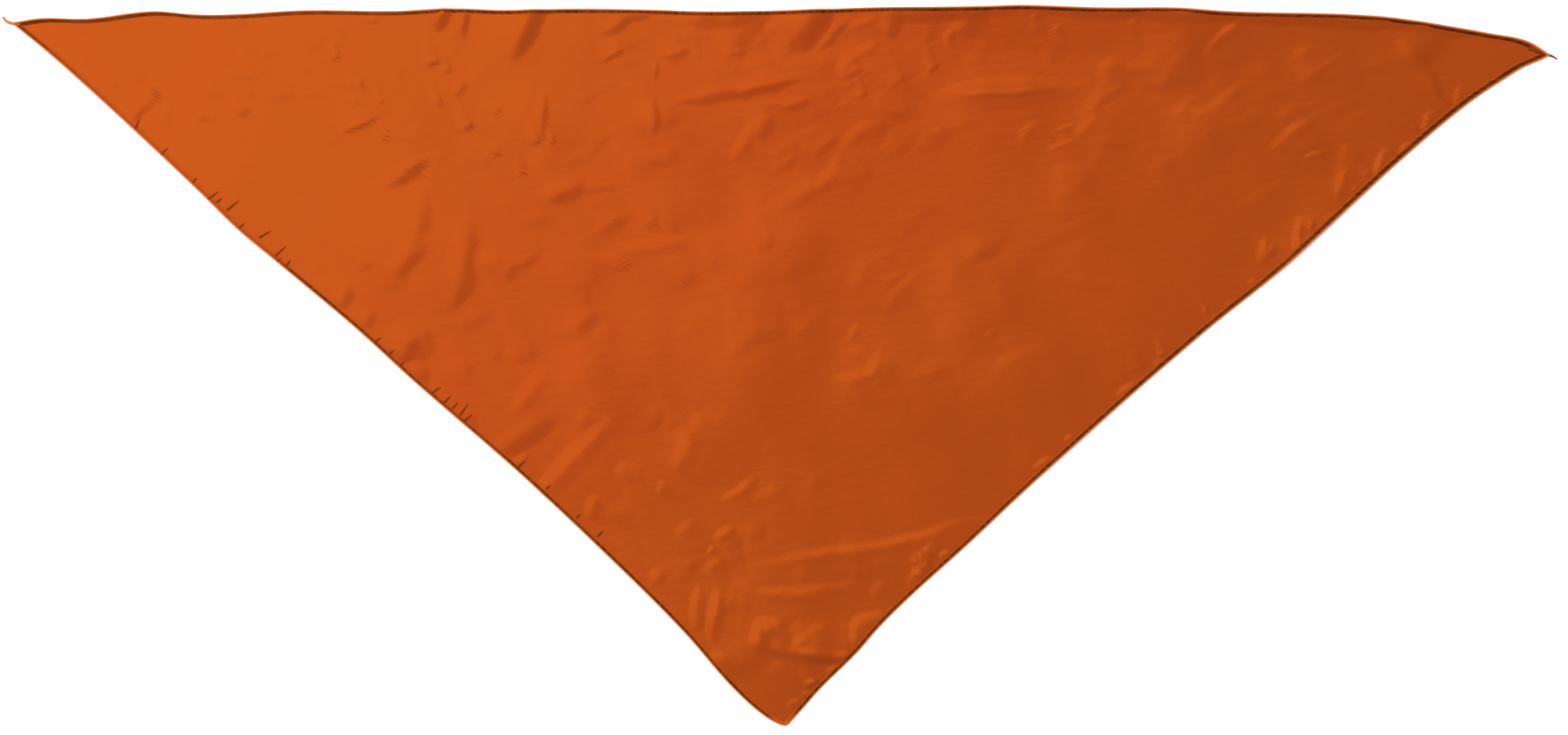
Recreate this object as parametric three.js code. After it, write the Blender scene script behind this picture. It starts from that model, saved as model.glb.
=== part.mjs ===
// A triangular neckerchief laid out flat: one light cloth panel with low folds, and a narrow overlocked
// hem wrapped round each of its three edges. Millimetres, +Z up, lying on z = 0. +X runs along the long
// side to the right, and +Y runs from the point of the triangle towards the long side.
import * as THREE from "three";

// Driving dimensions
const LONG_SIDE = 914; // straight line between the left and the right corner
const LEFT_LEG = 621.5; // straight line from the left corner to the point
const RIGHT_LEG = 604; // straight line from the point to the right corner
const LONG_SIDE_TURN = -1.2; // degrees that the long side lies turned away from +X
const CLOTH_WALL = 1;
const HEM_WIDTH = 3.4; // from the outer edge of the hem to its inner lips
const HEM_WALL = 1; // of the hem round the cloth's edge
const CLEARANCE = 0.3; // between hem and cloth, and between two hems where they meet
const FOLD_HEIGHT = 5; // of a fold whose height share is 1
const FOLD_REACH = 24; // from the crest to the foot of a fold whose width share is 1
const EDGE_EASE = 34; // how far in from the hem the cloth comes down to the surface

// Mesh steps along each side of the triangle
const STEPS = 52;

// How far each side bows outwards from its straight line, in the order in which the sides run round the
// triangle. Both columns are shares of that side's length.
const LEFT_LEG_BOW = [
  { along: 0, bow: 0 },
  { along: 0.046, bow: -0.0025 },
  { along: 0.12, bow: -0.0031 },
  { along: 0.239, bow: -0.0013 },
  { along: 0.295, bow: 0.0007 },
  { along: 0.34, bow: -0.0013 },
  { along: 0.441, bow: -0.0054 },
  { along: 0.512, bow: -0.0052 },
  { along: 0.643, bow: -0.0081 },
  { along: 0.744, bow: -0.0067 },
  { along: 0.866, bow: -0.0015 },
  { along: 0.936, bow: 0.0065 },
  { along: 0.967, bow: 0.007 },
  { along: 0.987, bow: 0.0045 },
  { along: 1, bow: 0 },
];
const RIGHT_LEG_BOW = [
  { along: 0, bow: 0 },
  { along: 0.028, bow: -0.0034 },
  { along: 0.048, bow: -0.006 },
  { along: 0.1, bow: -0.009 },
  { along: 0.13, bow: -0.0131 },
  { along: 0.171, bow: -0.0157 },
  { along: 0.253, bow: -0.017 },
  { along: 0.356, bow: -0.0203 },
  { along: 0.561, bow: -0.0201 },
  { along: 0.664, bow: -0.0159 },
  { along: 0.715, bow: -0.017 },
  { along: 0.817, bow: -0.0194 },
  { along: 0.91, bow: -0.0172 },
  { along: 0.951, bow: -0.0119 },
  { along: 0.971, bow: -0.0085 },
  { along: 0.992, bow: -0.0018 },
  { along: 1, bow: 0 },
];
const LONG_SIDE_BOW = [
  { along: 0, bow: 0 },
  { along: 0.014, bow: 0.0082 },
  { along: 0.04, bow: 0.0132 },
  { along: 0.091, bow: 0.0202 },
  { along: 0.116, bow: 0.0225 },
  { along: 0.213, bow: 0.0234 },
  { along: 0.243, bow: 0.0247 },
  { along: 0.294, bow: 0.0241 },
  { along: 0.345, bow: 0.0249 },
  { along: 0.376, bow: 0.0232 },
  { along: 0.447, bow: 0.0212 },
  { along: 0.498, bow: 0.0183 },
  { along: 0.549, bow: 0.0165 },
  { along: 0.579, bow: 0.0171 },
  { along: 0.64, bow: 0.0165 },
  { along: 0.681, bow: 0.0147 },
  { along: 0.712, bow: 0.0152 },
  { along: 0.752, bow: 0.0128 },
  { along: 0.811, bow: 0.012 },
  { along: 0.859, bow: 0.0083 },
  { along: 0.88, bow: 0.0079 },
  { along: 0.908, bow: 0.0094 },
  { along: 0.951, bow: 0.0037 },
  { along: 0.982, bow: 0.0032 },
  { along: 1, bow: 0 },
];

// The main folds, each a low ridge along a straight crest. Its two ends are given across, as a share of
// the long side from the left corner, and down, as a share of the triangle's depth from the long side.
// Width and height are shares of FOLD_REACH and FOLD_HEIGHT.
const FOLDS = [
  { across: 0.083, down: 0.147, toAcross: 0.096, toDown: 0.112, width: 0.7, height: 0.45 },
  { across: 0.216, down: 0.152, toAcross: 0.241, toDown: 0.13, width: 0.7, height: 0.45 },
  { across: 0.25, down: 0.23, toAcross: 0.272, toDown: 0.197, width: 0.8, height: 0.55 },
  { across: 0.271, down: 0.332, toAcross: 0.28, toDown: 0.229, width: 0.9, height: 0.7 },
  { across: 0.302, down: 0.342, toAcross: 0.31, toDown: 0.262, width: 0.9, height: 0.8 },
  { across: 0.22, down: 0.414, toAcross: 0.226, toDown: 0.368, width: 0.8, height: 0.5 },
  { across: 0.262, down: 0.486, toAcross: 0.267, toDown: 0.446, width: 0.8, height: 0.5 },
  { across: 0.33, down: 0.032, toAcross: 0.349, toDown: -0.025, width: 0.9, height: 0.8 },
  { across: 0.381, down: 0.007, toAcross: 0.415, toDown: -0.026, width: 0.8, height: 0.5 },
  { across: 0.278, down: 0, toAcross: 0.288, toDown: -0.027, width: 0.7, height: 0.6 },
  { across: 0.434, down: 0.102, toAcross: 0.508, toDown: 0.064, width: 0.8, height: 0.8 },
  { across: 0.422, down: 0.142, toAcross: 0.422, toDown: 0.097, width: 0.7, height: 0.5 },
  { across: 0.352, down: 0.246, toAcross: 0.397, toDown: 0.218, width: 1, height: 0.6 },
  { across: 0.398, down: 0.314, toAcross: 0.444, toDown: 0.289, width: 0.9, height: 0.7 },
  { across: 0.487, down: 0.259, toAcross: 0.545, toDown: 0.182, width: 1, height: 0.6 },
  { across: 0.617, down: 0.065, toAcross: 0.673, toDown: 0.055, width: 0.8, height: 0.7 },
  { across: 0.656, down: 0.154, toAcross: 0.666, toDown: 0.114, width: 0.7, height: 0.5 },
  { across: 0.777, down: 0.009, toAcross: 0.797, toDown: -0.035, width: 0.8, height: 0.7 },
  { across: 0.909, down: -0.017, toAcross: 0.924, toDown: 0.033, width: 0.8, height: 0.6 },
  { across: 0.924, down: 0.033, toAcross: 0.929, toDown: 0.084, width: 0.8, height: 0.6 },
  { across: 0.537, down: 0.493, toAcross: 0.565, toDown: 0.48, width: 0.7, height: 0.5 },
  { across: 0.565, down: 0.48, toAcross: 0.573, toDown: 0.443, width: 0.7, height: 0.5 },
  { across: 0.35, down: 0.653, toAcross: 0.381, toDown: 0.575, width: 1, height: 0.7 },
  { across: 0.349, down: 0.545, toAcross: 0.354, toDown: 0.465, width: 1, height: 0.5 },
  { across: 0.467, down: 0.667, toAcross: 0.488, toDown: 0.636, width: 0.7, height: 0.5 },
  { across: 0.489, down: 0.762, toAcross: 0.606, toDown: 0.72, width: 0.8, height: 0.8 },
  { across: 0.606, down: 0.72, toAcross: 0.642, toDown: 0.687, width: 0.8, height: 0.8 },
  { across: 0.489, down: 0.809, toAcross: 0.555, toDown: 0.787, width: 0.8, height: 0.6 },
  { across: 0.462, down: 0.873, toAcross: 0.463, toDown: 0.758, width: 0.7, height: 0.7 },
  { across: 0.487, down: 0.878, toAcross: 0.502, toDown: 0.84, width: 0.7, height: 0.6 },
  { across: 0.521, down: 0.911, toAcross: 0.551, toDown: 0.898, width: 0.7, height: 0.6 },
];

// The hem's section round the cloth's edge. In is the share of HEM_WIDTH from its outer edge, and up the
// share of half its outer height above the middle of the cloth. The slot that takes the cloth follows it.
const HEM_ROUND = [
  { in: 0, up: -0.45 },
  { in: 0, up: 0.45 },
  { in: 0.15, up: 0.85 },
  { in: 0.4, up: 1 },
  { in: 0.75, up: 0.95 },
  { in: 1, up: 0.72 },
];
const HEM_FOOT = [
  { in: 1, up: -0.72 },
  { in: 0.75, up: -1 },
  { in: 0.2, up: -1 },
];

// Colours, as they show on the cloth and in the darker stitched hem
const CLOTH_COLOUR = 0xc55318;
const HEM_COLOUR = 0x7a3408;

// Half the slot's height and half the hem's outer height, from the middle of the cloth
const slotHalf = CLOTH_WALL / 2 + CLEARANCE;
const hemHalf = slotHalf + HEM_WALL;

// Height of the cloth's underside inside a hem that rests on the surface
const rimHeight = hemHalf - CLOTH_WALL / 2;

// The straight triangle's corners are numbered anticlockwise from the left one
const [LEFT, POINT, RIGHT] = [0, 1, 2];

function triangleCorners() {
  const turn = THREE.MathUtils.degToRad(LONG_SIDE_TURN);
  const cosine = (LONG_SIDE ** 2 + LEFT_LEG ** 2 - RIGHT_LEG ** 2) / (2 * LONG_SIDE * LEFT_LEG);
  const down = turn - Math.acos(cosine);
  const left = new THREE.Vector2(0, 0);
  const point = new THREE.Vector2(Math.cos(down), Math.sin(down)).multiplyScalar(LEFT_LEG);
  const right = new THREE.Vector2(Math.cos(turn), Math.sin(turn)).multiplyScalar(LONG_SIDE);
  return [left, point, right];
}

const corners = triangleCorners();

// A side of the triangle: its end corners, its length, the direction out of the cloth, and its bow.
function makeSide(name, from, to, table) {
  const run = corners[to].clone().sub(corners[from]);
  const curve = new THREE.CubicInterpolant(
    table.map((row) => row.along),
    table.map((row) => row.bow),
    1,
  );
  return {
    name,
    from,
    to,
    length: run.length(),
    outward: new THREE.Vector2(run.y, -run.x).normalize(),
    bowAt: (along) => curve.evaluate(along)[0],
  };
}

const leftLeg = makeSide("hem_left_leg", LEFT, POINT, LEFT_LEG_BOW);
const rightLeg = makeSide("hem_right_leg", POINT, RIGHT, RIGHT_LEG_BOW);
const longSide = makeSide("hem_long_side", RIGHT, LEFT, LONG_SIDE_BOW);
const sides = [leftLeg, rightLeg, longSide];

// Each corner's distance from the side across from it: twice the area over that side's length.
const toPoint = corners[POINT].clone().sub(corners[LEFT]);
const toRight = corners[RIGHT].clone().sub(corners[LEFT]);
const twiceArea = toPoint.cross(toRight);
const altitudes = [rightLeg, longSide, leftLeg].map((across) => twiceArea / across.length);

// The place in the plane of a point given by its three corner weights. Each side's bow moves it outwards,
// fully on that side and less with the square of its distance from it.
function place(weights) {
  const spot = new THREE.Vector2();
  corners.forEach((corner, i) => spot.addScaledVector(corner, weights[i]));
  for (const side of sides) {
    const nearness = weights[side.from] + weights[side.to];
    const along = nearness > 0 ? weights[side.to] / nearness : 0;
    spot.addScaledVector(side.outward, side.bowAt(along) * side.length * nearness ** 2);
  }
  return spot;
}

// The corner weights of the triangle's own corners after it shrinks by a depth from all three sides.
function insetCorners(depth) {
  return corners.map((_, own) => {
    const weights = altitudes.map((altitude) => depth / altitude);
    weights[own] = 1 - weights[(own + 1) % 3] - weights[(own + 2) % 3];
    return weights;
  });
}

// A mix of several weight triples, each taken with its share.
function mixWeights(triples, shares) {
  return [0, 1, 2].map((i) => triples.reduce((sum, triple, j) => sum + triple[i] * shares[j], 0));
}

// The weights of a point at a share of a side and a depth in from it.
function onSide(side, along, depth) {
  const inset = insetCorners(depth);
  return mixWeights([inset[side.from], inset[side.to]], [1 - along, along]);
}

// The place of a fold's end, given across and down from the left corner of the long side.
function foldEnd(across, down) {
  const spot = corners[LEFT].clone().addScaledVector(toRight, across);
  return spot.addScaledVector(longSide.outward, -down * altitudes[POINT]);
}

const folds = FOLDS.map((row) => {
  const start = foldEnd(row.across, row.down);
  return {
    start,
    run: foldEnd(row.toAcross, row.toDown).sub(start),
    reach: row.width * FOLD_REACH,
    height: row.height * FOLD_HEIGHT,
  };
});

// How high the folds lift the cloth at a place. A fold falls from its crest as the square of one less
// the squared share of its reach, and where folds cross the higher one carries the cloth.
function foldLift(spot) {
  let lift = 0;
  for (const fold of folds) {
    const offset = spot.clone().sub(fold.start);
    const along = THREE.MathUtils.clamp(offset.dot(fold.run) / fold.run.lengthSq(), 0, 1);
    const away = offset.addScaledVector(fold.run, -along).length() / fold.reach;
    lift = Math.max(lift, away < 1 ? fold.height * (1 - away ** 2) ** 2 : 0);
  }
  return lift;
}

// How much of the hem's own lift is left at a depth: all of it at the hem's lips, none past EDGE_EASE.
function easeAt(depth) {
  return 1 - THREE.MathUtils.smoothstep(depth, HEM_WIDTH, EDGE_EASE);
}

// The depth of the cloth's last free ring, just inside the hem's lips, and of its edge in the slot.
const ringDepth = HEM_WIDTH + CLEARANCE;
const edgeDepth = HEM_WALL + CLEARANCE;

// The underside's height in the hem at a share of a side: level from the cloth's edge to its free ring.
function rimAt(side, along) {
  return rimHeight + foldLift(place(onSide(side, along, ringDepth)));
}

// A closed mesh from its vertices and triangles.
function makeMesh(name, colour, vertices, triangles) {
  const geometry = new THREE.BufferGeometry();
  geometry.setAttribute("position", new THREE.Float32BufferAttribute(vertices.flat(), 3));
  geometry.setIndex(triangles.flat());
  geometry.computeVertexNormals();
  const material = new THREE.MeshStandardMaterial({ color: colour, roughness: 0.5, metalness: 0 });
  const mesh = new THREE.Mesh(geometry, material);
  mesh.name = name;
  return mesh;
}

// The cloth: a triangular grid inside the free ring, a strip from the ring to the edge in the hem's slot,
// both as an underside and a face one wall above it, and the narrow wall that closes them at the edge.
function makeCloth() {
  const under = [];
  const ring = insetCorners(ringDepth);
  const rowStart = (i) => i * (STEPS + 1) - (i * (i - 1)) / 2;
  const gridIndex = (i, j) => rowStart(i) + j;
  for (let i = 0; i <= STEPS; i += 1) {
    for (let j = 0; j <= STEPS - i; j += 1) {
      const weights = mixWeights(ring, [STEPS - i - j, i, j].map((n) => n / STEPS));
      const spot = place(weights);
      const depth = Math.min(...weights.map((weight, k) => weight * altitudes[k]));
      const onRing = i === 0 || j === 0 || i + j === STEPS;
      const ease = onRing ? 1 : easeAt(depth);
      under.push([spot.x, spot.y, rimHeight * ease + foldLift(spot)]);
    }
  }

  // The ring's grid points, side after side, and the edge's own points beyond them
  const ringIndices = [
    ...Array.from({ length: STEPS }, (_, k) => gridIndex(k, 0)),
    ...Array.from({ length: STEPS }, (_, k) => gridIndex(STEPS - k, k)),
    ...Array.from({ length: STEPS }, (_, k) => gridIndex(0, STEPS - k)),
  ];
  const edgeStart = under.length;
  for (const side of sides) {
    for (let k = 0; k < STEPS; k += 1) {
      const spot = place(onSide(side, k / STEPS, edgeDepth));
      under.push([spot.x, spot.y, rimAt(side, k / STEPS)]);
    }
  }

  const faces = [];
  for (let i = 0; i < STEPS; i += 1) {
    for (let j = 0; j < STEPS - i; j += 1) {
      faces.push([gridIndex(i, j), gridIndex(i + 1, j), gridIndex(i, j + 1)]);
      if (i + j < STEPS - 1) {
        faces.push([gridIndex(i + 1, j), gridIndex(i + 1, j + 1), gridIndex(i, j + 1)]);
      }
    }
  }
  const walls = [];
  const aboveStart = under.length;
  ringIndices.forEach((inner, k) => {
    const next = (k + 1) % ringIndices.length;
    const outer = edgeStart + k;
    const outerNext = edgeStart + next;
    faces.push([outer, outerNext, ringIndices[next]], [outer, ringIndices[next], inner]);
    walls.push([outer, outerNext, aboveStart + outerNext]);
    walls.push([outer, aboveStart + outerNext, aboveStart + outer]);
  });

  const above = under.map(([x, y, z]) => [x, y, z + CLOTH_WALL]);
  const upward = faces.map((face) => face.map((index) => aboveStart + index));
  const downward = faces.map(([a, b, c]) => [a, c, b]);
  return makeMesh("cloth_panel", CLOTH_COLOUR, [...under, ...above], [...upward, ...downward, ...walls]);
}

// The hem's section as depths in from the outer edge and heights above the middle of the cloth.
function hemSection() {
  const outline = (row) => [row.in * HEM_WIDTH, row.up * hemHalf];
  return [
    ...HEM_ROUND.map(outline),
    [HEM_WIDTH, slotHalf],
    [HEM_WALL, slotHalf],
    [HEM_WALL, -slotHalf],
    [HEM_WIDTH, -slotHalf],
    ...HEM_FOOT.map(outline),
  ];
}

// The share of a side that its hem stops short of the corner, so that two hems meet at a mitre with half
// the clearance on each side of the line that halves the corner.
function mitreShare(side, corner) {
  const [before, after] = [1, 2].map((step) => corners[(corner + step) % 3].clone().sub(corners[corner]));
  const half = Math.acos(before.dot(after) / (before.length() * after.length())) / 2;
  return CLEARANCE / 2 / Math.sin(half) / side.length;
}

// A hem: its section carried along the side's bow and folds, with a flat cap at each mitre.
function makeHem(side) {
  const section = hemSection();
  const start = mitreShare(side, side.from);
  const end = 1 - mitreShare(side, side.to);
  const vertices = [];
  const triangles = [];
  for (let k = 0; k <= STEPS; k += 1) {
    const along = THREE.MathUtils.lerp(start, end, k / STEPS);
    const middle = rimAt(side, k / STEPS) + CLOTH_WALL / 2;
    for (const [depth, height] of section) {
      const spot = place(onSide(side, along, depth));
      vertices.push([spot.x, spot.y, middle + height]);
    }
  }
  const index = (k, m) => k * section.length + (m % section.length);
  for (let k = 0; k < STEPS; k += 1) {
    for (let m = 0; m < section.length; m += 1) {
      triangles.push([index(k, m), index(k + 1, m), index(k + 1, m + 1)]);
      triangles.push([index(k, m), index(k + 1, m + 1), index(k, m + 1)]);
    }
  }
  const contour = section.map(([depth, height]) => new THREE.Vector2(depth, height));
  for (const [a, b, c] of THREE.ShapeUtils.triangulateShape(contour, [])) {
    triangles.push([index(0, a), index(0, c), index(0, b)]);
    triangles.push([index(STEPS, a), index(STEPS, b), index(STEPS, c)]);
  }
  return makeMesh(side.name, HEM_COLOUR, vertices, triangles);
}

// The whole neckerchief, with its origin under the middle of its bounding box
const neckerchief = new THREE.Group();
neckerchief.add(makeCloth(), ...sides.map(makeHem));
const middle = new THREE.Box3().setFromObject(neckerchief).getCenter(new THREE.Vector3());
neckerchief.position.set(-middle.x, -middle.y, 0);

export default neckerchief;
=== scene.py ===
import math

import bpy
import numpy as np
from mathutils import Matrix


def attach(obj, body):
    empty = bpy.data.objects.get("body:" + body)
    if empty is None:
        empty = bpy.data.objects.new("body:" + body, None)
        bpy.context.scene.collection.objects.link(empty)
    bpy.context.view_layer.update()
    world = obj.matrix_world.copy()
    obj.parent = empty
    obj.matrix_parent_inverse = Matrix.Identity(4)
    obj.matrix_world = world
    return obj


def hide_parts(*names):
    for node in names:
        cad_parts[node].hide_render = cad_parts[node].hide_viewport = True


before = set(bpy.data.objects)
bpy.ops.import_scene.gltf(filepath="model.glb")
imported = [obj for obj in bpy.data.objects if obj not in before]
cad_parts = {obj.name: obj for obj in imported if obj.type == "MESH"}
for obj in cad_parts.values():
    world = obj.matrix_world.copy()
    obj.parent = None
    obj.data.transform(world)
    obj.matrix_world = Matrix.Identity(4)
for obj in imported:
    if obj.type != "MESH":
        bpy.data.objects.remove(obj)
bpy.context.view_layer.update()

# The cloth
# One triangle of light dyed satin, about half of a square cut from corner to corner, laid out flat and
# still creased from its folding. It is one closed sheet: a face, a coarser back and a rim in the hem.

LONG_SIDE = 0.914
LEFT_LEG = 0.6215
RIGHT_LEG = 0.604
LONG_SIDE_TURN = math.radians(-1.2)  # of the long side from +X
POINT_ROUND = 0.002  # how far from the point its rounding starts
CLOTH_THICKNESS = 0.00035
CLOTH_EDGE = 0.0013  # depth of the cloth's edge in the hem, from the hem's outer edge
HEM_WIDTH = 0.0034
RIM_LIFT = 0.00045  # of the cloth's back where the hem holds it
RIM_EASE = (0.02, 0.04)  # the least and greatest depth at which the cloth has come down to the surface
RIM_EASE_PITCH = 0.03  # along the edge between one such depth and the next
RIM_EASE_SEED = 3
SLOPE_STEP = 0.0004  # over which the cloth's slopes are taken
OUTLINE_POINTS = 53  # on each side, from which the cloth's middle is worked out
SHARP_FROM = 0.0026  # the creases' ridges fade in from this depth, so that the hem lies smooth
SHARP_TO = 0.0042

# How far each side bows out of its straight line. Columns: along, bow, both as shares of its length.
LEFT_LEG_BOW = [
    (0, 0), (0.046, -0.0025), (0.12, -0.0031), (0.239, -0.0013), (0.295, 0.0007), (0.34, -0.0013),
    (0.441, -0.0054), (0.512, -0.0052), (0.643, -0.0081), (0.744, -0.0067), (0.866, -0.0015),
    (0.936, 0.0065), (0.967, 0.007), (0.987, 0.0045), (1, 0),
]
RIGHT_LEG_BOW = [
    (0, 0), (0.028, -0.0034), (0.048, -0.006), (0.1, -0.009), (0.13, -0.0131), (0.171, -0.0157),
    (0.253, -0.017), (0.356, -0.0203), (0.561, -0.0201), (0.664, -0.0159), (0.715, -0.017),
    (0.817, -0.0194), (0.91, -0.0172), (0.951, -0.0119), (0.971, -0.0085), (0.992, -0.0018), (1, 0),
]
LONG_SIDE_BOW = [
    (0, 0), (0.014, 0.0082), (0.04, 0.0132), (0.091, 0.0202), (0.116, 0.0225), (0.213, 0.0234),
    (0.243, 0.0247), (0.294, 0.0241), (0.345, 0.0249), (0.376, 0.0232), (0.447, 0.0212),
    (0.498, 0.0183), (0.549, 0.0165), (0.579, 0.0171), (0.64, 0.0165), (0.681, 0.0147),
    (0.712, 0.0152), (0.752, 0.0128), (0.811, 0.012), (0.859, 0.0083), (0.88, 0.0079),
    (0.908, 0.0094), (0.951, 0.0037), (0.982, 0.0032), (1, 0),
]


def triangle_corners():
    """Left corner, point and right corner of the straight triangle, from its three sides' lengths."""
    cosine = (LONG_SIDE**2 + LEFT_LEG**2 - RIGHT_LEG**2) / (2 * LONG_SIDE * LEFT_LEG)
    down = LONG_SIDE_TURN - math.acos(cosine)
    point = LEFT_LEG * np.array([math.cos(down), math.sin(down)])
    right = LONG_SIDE * np.array([math.cos(LONG_SIDE_TURN), math.sin(LONG_SIDE_TURN)])
    return np.array([[0, 0], point, right])


def bow_at(table, along):
    """A cubic between each two rows. Its slope at a row is the mean of the slopes to both neighbours."""
    at, bow = np.array(table, float).T
    chord = np.diff(bow) / np.diff(at)
    slope = np.concatenate([chord[:1], (chord[1:] + chord[:-1]) / 2, chord[-1:]])
    row = np.clip(np.searchsorted(at, along, side="right") - 1, 0, len(at) - 2)
    gap = at[row + 1] - at[row]
    s = np.clip((along - at[row]) / gap, 0, 1)
    start = (1 + 2 * s) * (1 - s) ** 2 * bow[row] + s * (1 - s) ** 2 * gap * slope[row]
    end = s**2 * (3 - 2 * s) * bow[row + 1] - s**2 * (1 - s) * gap * slope[row + 1]
    return start + end


def place(weights):
    """Corner weights to places in the plane: the corners' weighted mean, moved out by each side's bow,
    fully on that side and less with the square of the distance from it. Near the point they're also
    pulled inwards, by a square that starts at POINT_ROUND from it, which rounds it."""
    spots = weights @ corners
    for start, end, table in SIDES:
        run = corners[end] - corners[start]
        length = np.hypot(*run)
        outward = np.array([run[1], -run[0]]) / length
        nearness = weights[..., start] + weights[..., end]
        along = weights[..., end] / np.maximum(nearness, 1e-9)
        push = bow_at(table, along) * length * nearness**2
        spots = spots + push[..., None] * outward
    from_point = (1 - weights[..., 1]) * altitudes[1] / POINT_ROUND
    inward = (corners[0] + corners[2]) / 2 - corners[1]
    pull = POINT_ROUND / 2 * np.clip(1 - from_point, 0, 1) ** 2
    return spots + pull[..., None] * inward / np.hypot(*inward)


def inset_weights(depths):
    """For each depth, the weights of the triangle's own corners after it shrinks by it from all sides."""
    depths = np.atleast_1d(depths)
    others = depths[:, None, None] / altitudes * (1 - np.eye(3))
    own = 1 - others.sum(axis=2)
    return others + own[..., None] * np.eye(3)


def on_side(side, along, depths):
    """Weights at shares along a side, for each depth in from it: an array of depth, along, corner."""
    inset = inset_weights(depths)
    start, end, _ = SIDES[side]
    along = np.asarray(along)[None, :, None]
    return (1 - along) * inset[:, None, start] + along * inset[:, None, end]


corners = triangle_corners()
SIDES = [(0, 1, LEFT_LEG_BOW), (1, 2, RIGHT_LEG_BOW), (2, 0, LONG_SIDE_BOW)]
run_down, run_across = corners[1] - corners[0], corners[2] - corners[0]
twice_area = abs(run_down[0] * run_across[1] - run_down[1] * run_across[0])
altitudes = twice_area / np.array([RIGHT_LEG, LONG_SIDE, LEFT_LEG])
inradius = 1 / np.sum(1 / altitudes)
shares = np.linspace(0, 1, OUTLINE_POINTS)
outline = np.concatenate([place(on_side(side, shares, 0))[0] for side in range(3)])
corners = corners - (outline.min(axis=0) + outline.max(axis=0)) / 2

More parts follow.
